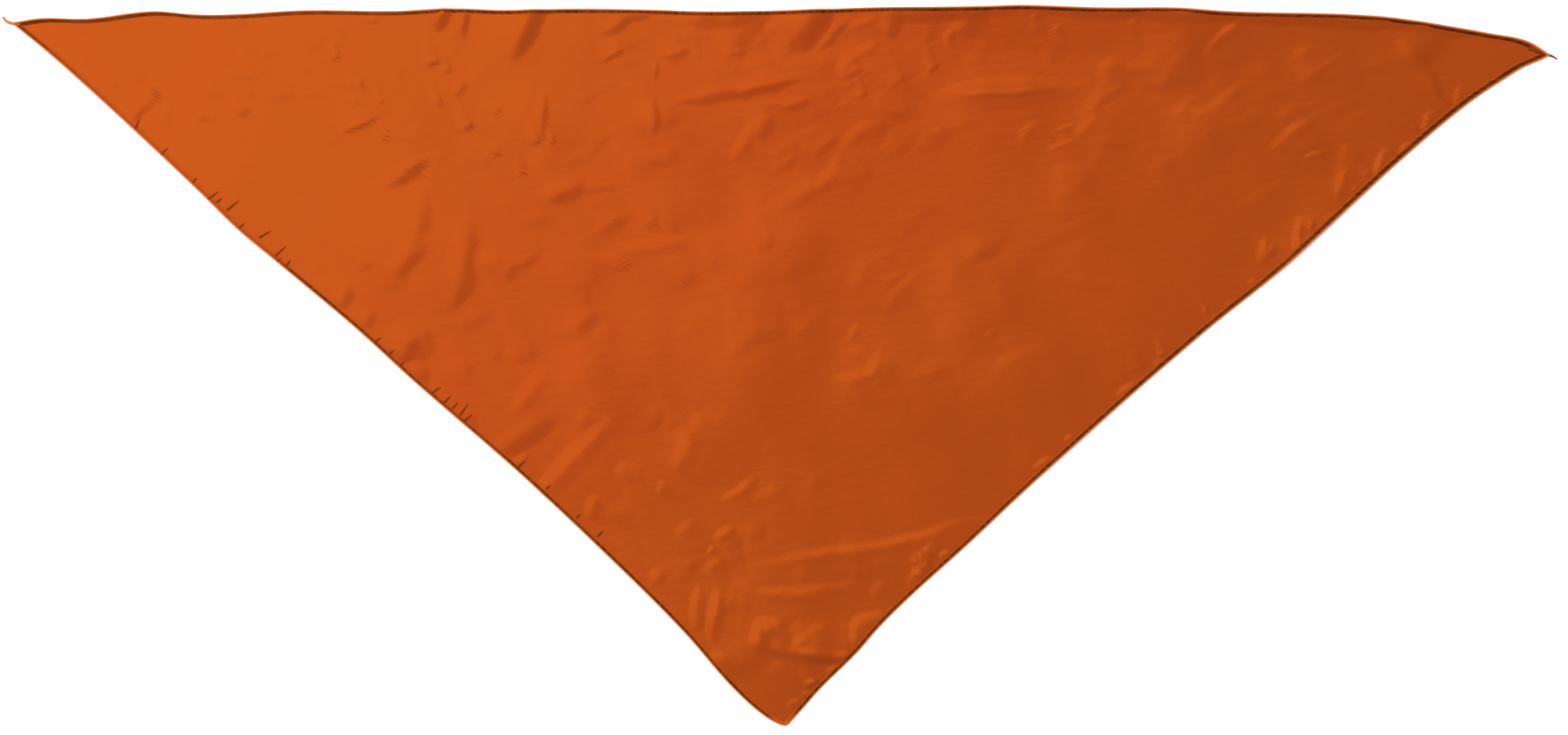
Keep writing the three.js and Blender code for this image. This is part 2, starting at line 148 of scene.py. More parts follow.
# The creases, each a ridge with one flank that faces the light and one that faces away from it. A row
# gives the stripe that shows: a bright one is the flank towards the light, a dark one the flank away
# from it. It holds the stripe's width, its steepness, above 0 for a bright stripe and below 0 for a dark
# one, and the points that it runs through, across and down. Lengths are in steps of which the long side
# has 1964, across from 14 steps left of the left corner, and down from 28 steps above it.
STEP = LONG_SIDE / 1964.4
CORNER_ACROSS = 14
CORNER_DOWN = 28
CREASES = [
    # Left corner
    (6, -0.7, (170, 163), (181, 143), (201, 129)), (6, -0.85, (201, 131), (203, 110)),
    (6, -0.32, (98, 43), (106, 41)), (6, -0.32, (157, 36), (163, 34)), (6, -0.32, (124, 79), (132, 77)),
    (6, -0.32, (104, 86), (112, 84)), (6, -0.32, (141, 109), (150, 107)),
    (6, -0.32, (176, 103), (186, 100)), (6, -0.32, (215, 160), (220, 130)),
    (6, -0.42, (255, 155), (265, 145)), (6, -0.54, (305, 150), (320, 138)),
    (6, -0.32, (300, 99), (325, 97)), (6, -0.32, (316, 123), (325, 121)),
    (6, -0.42, (340, 125), (375, 123)),
    # Upper left, under the long side
    (5, -0.61, (420, 75), (435, 72)), (5, -0.41, (460, 28), (485, 26)), (6, -0.61, (545, 84), (565, 75)),
    (5, -0.51, (565, 93), (576, 90)), (6, -0.52, (582, 125), (597, 103)),
    (5, -0.51, (555, 134), (566, 130)), (5, -0.41, (482, 132), (492, 129)),
    (5, -0.41, (447, 133), (458, 130)), (5, -0.51, (460, 111), (467, 105)),
    (7, -0.68, (440, 169), (484, 149)), (5, -0.61, (490, 180), (498, 165)),
    (10, -0.6, (494, 243), (520, 224), (552, 203)), (6, -0.6, (590, 167), (607, 158)),
    (5, -0.41, (630, 150), (640, 138)), (8, -0.45, (697, 175), (698, 120)),
    (6, -0.51, (675, 183), (690, 180)), (5, -0.41, (700, 183), (710, 181)),
    (5, -0.41, (630, 197), (642, 193)), (5, -0.41, (660, 224), (671, 220)),
    (12, -0.75, (560, 40), (584, -10)), (9, -0.6, (595, 45), (602, -10)),
    (18, -0.68, (662, 72), (704, -12)), (9, -0.5, (762, 50), (788, 37), (804, 25), (840, 16)),
    (5, -0.57, (765, 78), (780, 72), (800, 62)), (15, -0.38, (698, 260), (748, 239)),
    (8, -0.2, (735, 248), (790, 238)),
    # Middle of the long side
    (6, -0.35, (845, 75), (878, 65)), (5, -0.3, (838, 100), (842, 80)), (16, -0.4, (870, 32), (965, 24)),
    (9, 0.25, (975, 33), (1000, 22)), (26, -0.56, (1016, 68), (1064, 4)),
    (8, -0.3, (1045, 65), (1085, 28)), (8, 0.25, (1080, 31), (1115, 21)),
    (8, 0.3, (1065, 85), (1115, 50)), (6, -0.3, (925, 72), (950, 70)), (5, -0.25, (884, 73), (897, 71)),
    (11, -0.5, (860, 136), (940, 120), (1030, 104)), (8, 0.2, (950, 104), (1005, 97)),
    (9, 0.2, (960, 131), (1030, 124)), (7, -0.3, (1000, 140), (1035, 130)),
    (12, 0.25, (930, 200), (970, 140)), (12, -0.25, (972, 180), (990, 152)),
    (9, -0.35, (838, 170), (838, 125)), (7, -0.3, (1070, 99), (1100, 91)),
    (6, -0.25, (1094, 124), (1106, 122)), (5, -0.5, (1185, 91), (1199, 84)),
    (7, -0.2, (1150, 117), (1160, 111)), (10, 0.2, (1040, 235), (1070, 195)),
    # Upper right
    (19, 0.44, (1196, 112), (1280, 107), (1362, 99)), (8, -0.4, (1215, 124), (1345, 117)),
    (7.5, 0.28, (1300, 185), (1305, 165), (1325, 150)), (5, 0.35, (1345, 163), (1370, 155)),
    (6, 0.35, (1335, 185), (1370, 177)), (8.5, 0.55, (1530, 72), (1552, 47), (1582, 22)),
    (6, 0.3, (1314, 18), (1326, 16)), (18, -0.3, (1230, 48), (1262, 14)),
    (13, -0.3, (1136, 46), (1152, 14)), (28, -0.3, (1804, 88), (1846, 40)),
    (6, 0.3, (1344, 33), (1356, 31)), (6, 0.3, (1438, 26), (1452, 24)), (5, 0.25, (1404, 19), (1416, 17)),
    (6, 0.25, (1203, 41), (1217, 39)), (14, -0.5, (1105, 24), (1200, 20), (1295, 17)),
    (13, -0.7, (1250, 16), (1500, 22), (1700, 29), (1850, 40), (1985, 62)),
    (18, -0.15, (1460, 38), (1540, 26)), (10, -0.5, (1850, 142), (1840, 125), (1822, 85), (1790, 38)),
    (6, 0.6, (1662, 197), (1690, 189)), (5, 0.2, (1670, 132), (1680, 128)),
    (5, 0.25, (1760, 41), (1770, 39)),
    # Left of the middle
    (18, -0.34, (498, 356), (528, 334), (541, 300), (549, 240)),
    (18, -0.36, (572, 404), (596, 372), (601, 330), (612, 272)), (10, -0.25, (463, 345), (475, 334)),
    (14, -0.3, (443, 392), (450, 362)), (12, -0.3, (470, 420), (480, 398)),
    (16, -0.35, (520, 462), (535, 430)), (12, -0.25, (652, 358), (664, 332)),
    (8, -0.25, (664, 345), (692, 322)), (16, 0.36, (678, 628), (768, 536)),
    (13, 0.28, (652, 520), (694, 462)), (16, -0.28, (636, 585), (710, 536)),
    (8, 0.3, (650, 592), (668, 574)), (10, 0.3, (745, 658), (756, 630)),
    # Middle
    (11, 0.35, (780, 316), (878, 298)), (9, -0.25, (797, 345), (800, 325)),
    (14, -0.2, (765, 300), (800, 282)), (8, -0.25, (820, 291), (840, 284)),
    (8, -0.25, (870, 368), (890, 352)), (9, -0.15, (905, 378), (930, 366)),
    (14, 0.2, (960, 272), (1005, 247), (1080, 208)),
    (8, 0.45, (1055, 482), (1090, 477), (1113, 468), (1124, 440)), (6, 0.3, (1084, 432), (1091, 410)),
    (6, 0.15, (1115, 325), (1138, 316)), (7, 0.15, (1125, 358), (1148, 342)),
    (6, 0.15, (1255, 430), (1268, 418)), (14, 0.25, (855, 592), (880, 556)),
    (7, 0.25, (838, 627), (845, 610)), (18, 0.15, (858, 560), (895, 525)),
    # Above the point
    (7.5, 0.4, (918, 633), (945, 620), (962, 603)), (9, 0.45, (912, 679), (934, 669)),
    (5, 0.5, (904, 701), (912, 696)), (9, 0.25, (897, 722), (922, 709)),
    (12, 0.35, (828, 737), (842, 722)), (10, 0.2, (860, 678), (885, 660)),
    (9, 0.4, (884, 800), (886, 748)), (10, 0.55, (904, 815), (910, 750)),
    (13, 0.5, (957, 827), (964, 803), (975, 782)), (11, 0.45, (974, 797), (996, 784)),
    (10, 0.4, (945, 743), (1000, 752), (1098, 738)),
    (10, 0.42, (950, 716), (1030, 704), (1100, 694), (1180, 679), (1218, 662), (1275, 655)),
    (9, 0.3, (1010, 820), (1027, 806)), (8, 0.2, (1028, 803), (1055, 793)),
    (10, 0.45, (1088, 826), (1090, 784)), (9, 0.35, (1092, 784), (1132, 778)),
    (5, 0.4, (1130, 780), (1137, 770)), (10, 0.2, (1108, 750), (1128, 740)),
    (10, -0.45, (955, 822), (1005, 836), (1078, 841)), (9, -1.3, (1010, 836), (1060, 840), (1110, 842)),
    (6, 0.45, (1052, 853), (1070, 846)), (6, 0.35, (1027, 866), (1050, 858)),
    (5, -1.2, (1028, 876), (1046, 868)), (5, 0.4, (1020, 884), (1036, 876)),
    (7, 0.35, (1000, 894), (1022, 886)),
    # Puckers along the right leg
    (3, -0.65, (1178, 700), (1195, 710)), (3, -0.65, (1170, 708), (1185, 718)),
    (3, -0.65, (1160, 715), (1180, 727)), (3, -0.65, (1165, 732), (1178, 737)),
    (5, 0.65, (1198, 704), (1212, 700)), (4, 0.65, (1183, 711), (1192, 719)),
    (5, 0.65, (1165, 722), (1180, 730)), (7, 0.45, (1318, 592), (1343, 578)),
    (6, 0.39, (1358, 558), (1370, 552)), (7, 0.45, (1425, 500), (1448, 483)),
    (6, 0.45, (1470, 465), (1482, 455)), (5, -0.39, (1440, 474), (1460, 468)),
    (4, -0.65, (1480, 453), (1490, 449)), (6, 0.39, (1546, 402), (1552, 398)),
    (5, -0.52, (1538, 397), (1544, 394)), (6, 0.39, (1560, 386), (1575, 380)),
    (6, 0.33, (1592, 358), (1602, 352)), (7, 0.39, (1604, 335), (1611, 300)),
    (6, -0.45, (1616, 330), (1630, 312)), (9, 0.65, (1649, 318), (1660, 303)),
    (4, -0.65, (1672, 293), (1676, 280)), (7, 0.59, (1680, 294), (1700, 268)),
    (6, 0.7, (1749, 226), (1764, 190)), (4, -0.45, (1740, 226), (1752, 217)),
    (4, -0.65, (1773, 198), (1777, 189)), (6, 0.59, (1784, 191), (1792, 179)),
    (4, -0.65, (1806, 166), (1810, 159)), (7, 0.52, (1813, 170), (1821, 139)),
    (3, -0.65, (1825, 155), (1828, 148)), (3, -0.65, (1832, 148), (1836, 141)),
    (3, -0.65, (1843, 136), (1848, 129)), (6, 0.45, (1850, 140), (1861, 106)),
    (6, 0.65, (1649, 320), (1656, 276)), (5, 0.8, (1720, 260), (1742, 230)),
    (6, 0.45, (1703, 252), (1712, 214)), (5, 0.85, (1776, 202), (1797, 176)),
    (4, -0.65, (1725, 246), (1733, 236)),
    # Broad swells
    (60, 0.1, (1230, 490), (1360, 420)), (60, 0.06, (1320, 240), (1350, 180), (1420, 100)),
    (50, 0.08, (1640, 260), (1760, 200)), (40, -0.1, (1500, 60), (1560, 45)),
    (70, -0.16, (980, 45), (1250, 30), (1500, 36), (1800, 50), (1960, 80)),
    (90, 0.13, (870, 580), (905, 440), (925, 320), (950, 200)),
    (80, 0.065, (1100, 540), (1180, 450), (1240, 330)), (50, -0.14, (930, 850), (1000, 885), (1060, 860)),
    (36, -0.25, (935, 868), (985, 812)), (36, -0.19, (940, 70), (985, 20)),
    (44, -0.2, (1500, 120), (1560, 30)), (80, 0.1, (690, 540), (790, 430), (850, 300)),
]
LIGHT_SIDE = np.array([-0.6, 0.8])  # the way that the bright flanks face
FLANK_TILT = 0.6  # the greatest slope of the flank that shows, where the steepness is 1
NEAR_FALL = 0.35  # share of its height that the other flank loses just beside the crest
NEAR_FLANK = 0.9  # and over which width, as a share of the flank that shows
FAR_FLANK = 5  # the same for the rest of its height
END_SHARE = 0.38  # share of a crease's length over which each end runs out
END_REACH = 0.15  # how far a crease runs on past its charted ends, as a share of its length
PATH_STEPS = 5  # straight steps between two points of a curved crease
LEAST_FLANK = 0.0026  # the least width of the flank that shows
FOLD_FROM = 0.006  # creases with a flank at least this wide lift the hem and the back too
FLANK_SHARE = 1.3  # the whole flank's width as a share of the stripe's
END_WIDTH = 0.6  # a crease's width at its ends as a share of that in its middle
WANDER = 0.00045  # how far the creases stray to either side

# The finer crinkles, strewn within these patches. Columns: across and down of the patch's middle, its
# half width and half depth, how many, their usual length and width, and how steep they are.
CRINKLES = [
    (760, 110, 330, 100, 44, 58, 8, 0.12),
    (1090, 120, 95, 90, 30, 58, 8, 0.08),
    (620, 420, 190, 160, 24, 60, 16, 0.12),
    (820, 420, 330, 240, 50, 50, 15, 0.1),
    (1350, 320, 420, 180, 50, 70, 12, 0.1),
    (1580, 110, 225, 80, 44, 60, 9, 0.17),
    (1270, 55, 80, 25, 10, 40, 8, 0.12),
    (330, 90, 200, 60, 20, 30, 9, 0.15),
    (1000, 760, 130, 90, 22, 40, 11, 0.12),
    (1150, 320, 650, 280, 50, 150, 46, 0.07),
]
CRINKLE_LEAN = (30, 19)  # degrees from the long side: the mean and the spread
CRINKLE_LENGTH = (0.4, 1)  # the least and greatest share of the usual length, and so on
CRINKLE_WIDTH = (0.8, 1.4)
CRINKLE_STEEPNESS = (0.3, 1.3)
CRINKLE_SEED = 7


def smooth(share):
    """Cubic ease of a share from 0 to 1, level at both ends: three squares less two cubes."""
    share = np.clip(share, 0, 1)
    return share**2 * (3 - 2 * share)


def on_chart(points):
    """The places of points given across and down in the chart's steps."""
    return corners[0] + STEP * (np.array(points, float) - [CORNER_ACROSS, CORNER_DOWN]) * [1, -1]


def rounded_path(points):
    """A curve through all the points: between each two a cubic, whose slope at a point is half the way
    from the point before it to the one after."""
    ahead = np.concatenate([points[1:] - points[:-1], points[-1:] - points[-2:-1]])
    behind = np.concatenate([ahead[:1], ahead[:-1]])
    slopes = (ahead + behind) / 2
    s = np.linspace(0, 1, PATH_STEPS, endpoint=False)[:, None]
    pieces = [
        (1 + 2 * s) * (1 - s) ** 2 * points[k] + s * (1 - s) ** 2 * slopes[k]
        + s**2 * (3 - 2 * s) * points[k + 1] - s**2 * (1 - s) * slopes[k + 1]
        for k in range(len(points) - 1)
    ]
    return np.concatenate([*pieces, points[-1:]])


def strewn_creases():
    """The finer crinkles in the form of the chart's rows, each straight, with a seeded random place and
    lean."""
    strewn = []
    rng = np.random.default_rng(CRINKLE_SEED)
    for across, down, half_width, half_depth, count, length, width, steepness in CRINKLES:
        middle = np.array([across, down]) + rng.uniform(-1, 1, (count, 2)) * [half_width, half_depth]
        lean = np.radians(rng.normal(*CRINKLE_LEAN, count))
        half = length * rng.uniform(*CRINKLE_LENGTH, count) / 2
        reach = np.stack([half * np.cos(lean), -half * np.sin(lean)], axis=-1)
        widths = width * rng.uniform(*CRINKLE_WIDTH, count)
        steepnesses = steepness * rng.uniform(*CRINKLE_STEEPNESS, count) * rng.choice([-1, 1], count)
        strewn += list(zip(widths, steepnesses, middle - reach, middle + reach))
    return strewn


def crease_list():
    """Every crease as its crest's path, the way to the light across it, whether it shows the flank on that
    side, that flank's width, at most half the crease's length, and its height: the flank's slope times its
    width, over 1.5, as the cubic ease is steepest at one and a half times its mean slope. The crest runs
    beside the stripe that shows."""
    creases = []
    for width, steepness, *points in CREASES + strewn_creases():
        points = on_chart(points)
        points[0] += END_REACH * (points[0] - points[1])
        points[-1] += END_REACH * (points[-1] - points[-2])
        path = rounded_path(points) if len(points) > 2 else points
        run = path[-1] - path[0]
        side = np.array([-run[1], run[0]]) / np.hypot(*run)
        side = side if side @ LIGHT_SIDE > 0 else -side
        shown = min(max(FLANK_SHARE * width * STEP, LEAST_FLANK), np.hypot(*run) / 2)
        height = FLANK_TILT * abs(steepness) * shown / 1.5
        shift = -0.5 * shown if steepness > 0 else 0.5 * shown
        creases.append((path + shift * side, side, steepness > 0, shown, height))
    return creases


def ridge_height(spots, path, side, faces_light, shown):
    """A ridge of height 1 along a path: a cubic ease down the flank that shows, and on the other side a
    short one and a long one after each other. It runs out to nothing at both ends, by an ease along the
    straight line between them, and gets narrower there."""
    run = path[-1] - path[0]
    along = np.clip((spots - path[0]) @ run / (run @ run), 0, 1)
    taper = smooth(along / END_SHARE) * smooth((1 - along) / END_SHARE)
    runs = np.diff(path, axis=0)
    offsets = spots[:, None] - path[:-1]
    share = np.clip((offsets * runs).sum(axis=2) / (runs**2).sum(axis=1), 0, 1)
    away = offsets - share[..., None] * runs
    gaps = np.hypot(away[..., 0], away[..., 1])
    k = np.arange(len(spots))
    nearest = gaps.argmin(axis=1)
    gap = gaps[k, nearest] / (shown * (END_WIDTH + (1 - END_WIDTH) * taper))
    beside = NEAR_FALL * smooth(1 - gap / NEAR_FLANK) + (1 - NEAR_FALL) * smooth(1 - gap / FAR_FLANK)
    on_light_side = away[k, nearest] @ side > 0
    return taper * np.where(on_light_side == faces_light, smooth(1 - gap), beside)


def wander(spots):
    """Places moved a little to and fro by slow crossing waves, so that no crease is quite even."""
    x, y = 2 * math.pi * spots.T
    across = np.sin(23 * x + 17 * y) + 0.7 * np.sin(41 * y - 37 * x + 1)
    down = np.sin(21 * y - 19 * x + 3) + 0.7 * np.sin(43 * x + 29 * y + 4)
    return spots + WANDER * np.column_stack([across, down])


def cloth_lift(spots, sharp):
    """How high the cloth lies above the surface at places in the plane: the sum of the folds, whose flanks
    are wide, and of the finer creases times the share sharp."""
    spots = wander(spots)
    folds = np.zeros(len(spots))
    fine = np.zeros(len(spots))
    for path, side, faces_light, shown, height in crease_list():
        reach = FAR_FLANK * shown
        low, high = path.min(axis=0) - reach, path.max(axis=0) + reach
        close = np.flatnonzero(((spots > low) & (spots < high)).all(axis=1))
        total = folds if shown > FOLD_FROM else fine
        if len(close):
            total[close] += height * ridge_height(spots[close], path, side, faces_light, shown)
    return folds + sharp * fine


def rim_lift(depths, rounds):
    """The hem's own lift of the cloth at depths and distances round the edge: level in the hem, and eased
    down to nothing at a depth that wanders along the edge, by seeded values joined with straight lines."""
    knots = np.arange(0, LEFT_LEG + RIGHT_LEG + LONG_SIDE + RIM_EASE_PITCH, RIM_EASE_PITCH)
    ease = np.interp(rounds, knots, np.random.default_rng(RIM_EASE_SEED).uniform(*RIM_EASE, len(knots)))
    return RIM_LIFT * (1 - smooth((depths - HEM_WIDTH) / (ease - HEM_WIDTH)))


def strip(outer, inner):
    """Triangles of the band between two closed rings of points, given as their numbers in order round
    the cloth. The outer ring has as many points as the inner one, or twice as many."""
    around = len(inner)
    k = np.arange(around)
    after = (k + 1) % around
    if len(outer) == around:
        first = np.stack([outer[k], outer[after], inner[after]], axis=1)
        second = np.stack([outer[k], inner[after], inner[k]], axis=1)
        return np.concatenate([first, second])
    even, odd, following = outer[2 * k], outer[2 * k + 1], outer[2 * after]
    first = np.stack([even, odd, inner[k]], axis=1)
    second = np.stack([odd, inner[after], inner[k]], axis=1)
    third = np.stack([odd, following, inner[after]], axis=1)
    return np.concatenate([first, second, third])


def make_mesh(name, points, triangles):
    """A smooth-shaded mesh object from arrays of points and triangles."""
    mesh = bpy.data.meshes.new(name)
    mesh.vertices.add(len(points))
    mesh.vertices.foreach_set("co", np.asarray(points, np.float32).ravel())
    mesh.loops.add(3 * len(triangles))
    mesh.loops.foreach_set("vertex_index", np.asarray(triangles, np.int32).ravel())
    mesh.polygons.add(len(triangles))
    mesh.polygons.foreach_set("loop_start", np.arange(0, 3 * len(triangles), 3, dtype=np.int32))
    mesh.polygons.foreach_set("use_smooth", np.ones(len(triangles), bool))
    mesh.update(calc_edges=True)
    mesh.validate()
    piece = bpy.data.objects.new(name, mesh)
    bpy.context.scene.collection.objects.link(piece)
    return piece


# Points round the cloth on each side's outermost ring, closest where the creases crowd, and the bands of
# rings: first and last depth, number of rings, and one in how many of those points they keep
LEFT_LEG_STATIONS = np.arange(944) / 944
RIGHT_LEG_STATIONS = np.arange(624) / 624
LONG_SIDE_STATIONS = np.interp(np.arange(1040) / 1040, [0, 0.22, 0.84, 1], [0, 0.36, 0.79, 1])
FACE_BANDS = [
    (CLOTH_EDGE, 0.0102, 8, 1), (0.0102, 0.06, 31, 2), (0.06, 0.11, 29, 4), (0.11, 0.173, 28, 8),
]
BACK_ROWS = 20
BACK_SKIP = 8
BACK_SHARE = 0.6  # of the folds' height that the back follows
LAST_BACK_ROW = 0.97  # its depth, as a share of the way to the middle


def ring_stations(skip):
    """For each side, the shares along it of the points round a ring, of which it keeps one in skip."""
    return [LEFT_LEG_STATIONS[::skip], RIGHT_LEG_STATIONS[::skip], LONG_SIDE_STATIONS[::skip]]


def ring_rows(depths, skip):
    """Places of the points of rings at several depths, as an array of ring, point round it, x and y."""
    sides = [place(on_side(side, along, depths)) for side, along in enumerate(ring_stations(skip))]
    return np.concatenate(sides, axis=1)


def ring_rounds(skip, rows):
    """The distance round the edge, from the left corner down, of the points that ring_rows gives: how far
    along its side's straight line each one stands."""
    rounds = []
    before = 0
    for (start, end, _), stations in zip(SIDES, ring_stations(skip)):
        run = corners[end] - corners[start]
        length = np.hypot(*run)
        first = sum(part.shape[1] for part in rounds)
        part = rows[:, first : first + len(stations)]
        rounds.append(before + (part - corners[start]) @ run / length)
        before += length
    return np.concatenate(rounds, axis=1)


def cloth_panel_mesh():
    """Rings round the cloth at growing depths, in bands, each with half as many points as the one before,
    closed by a fan in the middle. The back has fewer, and a rim wall joins the two edges. Also gives each
    point's distance round the edge and depth."""
    spots, chart, rings = [], [], []
    count = 0
    for first, last, rows, skip in FACE_BANDS:
        depths = np.linspace(first, last, rows, endpoint=False)
        band = ring_rows(depths, skip)
        spots.append(band.reshape(-1, 2))
        deep = np.broadcast_to(depths[:, None], band.shape[:2])
        chart.append(np.stack([ring_rounds(skip, band), deep], axis=-1).reshape(-1, 2))
        rings += list(count + np.arange(band.shape[0] * band.shape[1]).reshape(band.shape[:2]))
        count += band.shape[0] * band.shape[1]
    middle = place(inset_weights(inradius)[0, 0])
    face_spots = np.concatenate([*spots, middle[None]])
    face_chart = np.concatenate([*chart, [[0, inradius]]])
    sharp = smooth((face_chart[:, 1] - SHARP_FROM) / (SHARP_TO - SHARP_FROM))
    face_z = CLOTH_THICKNESS + rim_lift(face_chart[:, 1], face_chart[:, 0]) + cloth_lift(face_spots, sharp)
    faces = [strip(outer, inner) for outer, inner in zip(rings[:-1], rings[1:])]
    last_ring = rings[-1]
    hub = np.full(len(last_ring), count)
    faces.append(np.stack([last_ring, np.roll(last_ring, -1), hub], axis=1))

    back_depths = np.linspace(CLOTH_EDGE, LAST_BACK_ROW * inradius, BACK_ROWS)
    back = ring_rows(back_depths, BACK_SKIP)
    around = back.shape[1]
    back_spots = np.concatenate([back.reshape(-1, 2), middle[None]])
    deep = np.broadcast_to(back_depths[:, None], back.shape[:2])
    back_chart = np.stack([ring_rounds(BACK_SKIP, back), deep], axis=-1).reshape(-1, 2)
    back_chart = np.concatenate([back_chart, [[0, inradius]]])
    back_z = rim_lift(back_chart[:, 1], back_chart[:, 0]) + BACK_SHARE * cloth_lift(back_spots, 0)
    base = len(face_spots)
    back_rings = base + np.arange(BACK_ROWS * around).reshape(BACK_ROWS, around)
    back_faces = [strip(outer, inner) for outer, inner in zip(back_rings[:-1], back_rings[1:])]
    hub = np.full(around, base + BACK_ROWS * around)
    back_faces.append(np.stack([back_rings[-1], np.roll(back_rings[-1], -1), hub], axis=1))
    faces.append(np.concatenate(back_faces)[:, ::-1])

    edge = rings[0]
    low = back_rings[0]
    low_next = np.roll(low, -1)
    fine = np.append(edge, edge[0])
    blocks = np.arange(around)[:, None] * BACK_SKIP + np.arange(BACK_SKIP)
    wall = np.stack([np.repeat(low, BACK_SKIP), fine[blocks.ravel() + 1], fine[blocks.ravel()]], axis=1)
    faces.append(wall)
    faces.append(np.stack([low, low_next, np.append(edge[::BACK_SKIP], edge[0])[1:]], axis=1))

    points = np.concatenate([
        np.column_stack([face_spots, face_z]),
        np.column_stack([back_spots, back_z]),
    ])
    return points, np.concatenate(faces), np.concatenate([face_chart, back_chart]), len(face_spots)


def face_normals(spots, depths):
    """The upright directions of the face's surface, from the slope of its height over SLOPE_STEP."""
    sharp = smooth((depths - SHARP_FROM) / (SHARP_TO - SHARP_FROM))
    here = cloth_lift(spots, sharp)
    east = (cloth_lift(spots + [SLOPE_STEP, 0], sharp) - here) / SLOPE_STEP
    north = (cloth_lift(spots + [0, SLOPE_STEP], sharp) - here) / SLOPE_STEP
    upright = np.column_stack([-east, -north, np.ones(len(spots))])
    return upright / np.linalg.norm(upright, axis=1)[:, None]


def set_uv(piece, name, chart):
    """A UV map from each point's pair of values."""
    layer = piece.data.uv_layers.new(name=name)
    point_of_corner = np.zeros(len(piece.data.loops), np.int32)
    piece.data.loops.foreach_get("vertex_index", point_of_corner)
    layer.data.foreach_set("uv", chart[point_of_corner].astype(np.float32).ravel())


def link(tree, source, socket, target, into):
    """Joins one node's output to another's input."""
    tree.links.new(source.outputs[socket], target.inputs[into])


def add_node(tree, kind, **inputs):
    """A shader node with the given input values."""
    node = tree.nodes.new(kind)
    for name, value in inputs.items():
        node.inputs[name].default_value = value
    return node


SATIN_DYE = (0.339, 0.0487, 0.0067, 1)
SATIN_DYE_DEEP = (0.307, 0.0436, 0.0061, 1)
SATIN_GLOSS = (1.0, 0.6, 0.0, 1)
SATIN_SHEEN = (1.0, 0.35, 0.1, 1)
WEAVE_TURN = math.radians(42)  # the grain lies along the legs
PAINTED_MIDTONE_BAND_ACROSS = (1, -1.3, 0)  # the way across the broad band that is painted a little redder. This is painted light: the hue of the mid-tones where the soft box's gloss fades out
PAINTED_MIDTONE_BAND_MIDDLE = -0.17
PAINTED_MIDTONE_BAND_REACH = 0.27
PAINTED_MIDTONE_BAND_TINT = (1, 0.88, 1, 1)
CRINKLE_TURN = math.radians(-28)  # the small crinkles lie from lower left to upper right
WEAVE_SCALE = 520  # about 0.6 mm between the ribs that show


